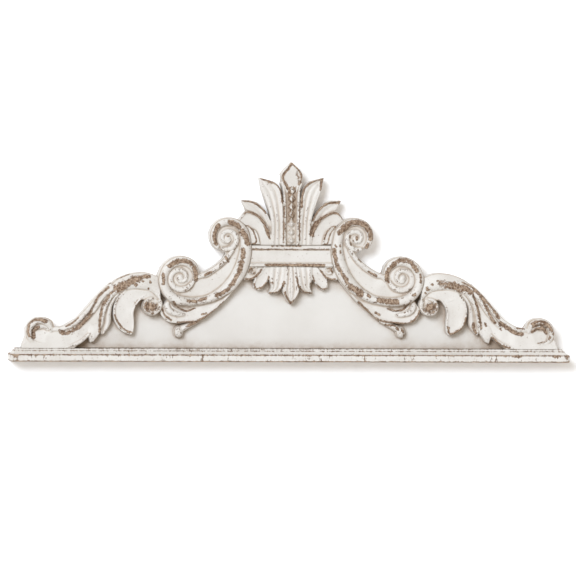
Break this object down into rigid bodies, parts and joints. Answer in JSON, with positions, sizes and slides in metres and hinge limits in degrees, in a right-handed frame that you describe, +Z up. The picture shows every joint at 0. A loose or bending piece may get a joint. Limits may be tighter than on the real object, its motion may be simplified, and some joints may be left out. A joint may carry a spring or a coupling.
{
  "type": "carved wall pediment",
  "caption": "Carved wall pediment in distressed white paint, with a palmette, C-scrolls and acanthus arms on a moulded rail.",
  "frame": {"origin": "point on the flat back of the panel, on the line of symmetry and 190 mm above the rail's underside", "axes": "+X to the right as the viewer sees it, +Z up, +Y out of the back into the wall, so the carving faces -Y"},
  "size_m": [1.2, 0.058, 0.4247],
  "materials": {
    "carving_paint": "matt white paint, rubbed through to brown on raised edges",
    "panel_paint": "matt white paint, smooth",
    "rail_paint": "matt white paint, rubbed through to brown along its edges"
  },
  "bodies": {
    "root": {"back_panel": "panel_paint", "base_rail": "rail_paint", "band": "carving_paint", "palmette": "carving_paint", "pendant": "carving_paint", "c_scroll_left": "carving_paint", "c_scroll_right": "carving_paint", "arm_left": "carving_paint", "arm_right": "carving_paint"}
  },
  "joints": []
}
